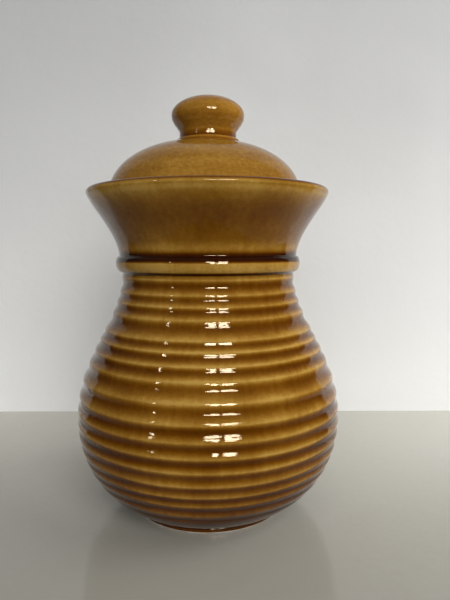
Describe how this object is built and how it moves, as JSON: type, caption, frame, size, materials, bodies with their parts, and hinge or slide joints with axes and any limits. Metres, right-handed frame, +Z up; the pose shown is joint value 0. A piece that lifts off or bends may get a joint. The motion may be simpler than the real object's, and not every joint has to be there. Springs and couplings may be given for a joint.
{
  "type": "lidded storage jar",
  "caption": "Glazed stoneware storage jar: ringed bulbous belly, collar, flared mouth, domed lift-off lid with a mushroom knob.",
  "frame": {"origin": "centre of the foot ring's resting face", "axes": "+Z up along the pot's axis of revolution; the lid is set down slightly towards -X"},
  "size_m": [0.1608, 0.1608, 0.2494],
  "materials": {
    "amber_glaze_body": "glossy translucent amber glaze, darker where it pools in the grooves; bare clay on the foot ring",
    "amber_glaze_lid": "glossy honey glaze, finely mottled",
    "amber_glaze_knob": "glossy honey glaze, finely mottled"
  },
  "bodies": {
    "pot": {"jar_body": "amber_glaze_body"},
    "lid_assembly": {"lid": "amber_glaze_lid", "lid_knob": "amber_glaze_knob"}
  },
  "joints": [
    {"name": "lid_lift", "type": "slide", "parent": "pot", "child": "lid_assembly", "axis": [0, 0, 1], "range_m": [0, 0.1]}
  ]
}
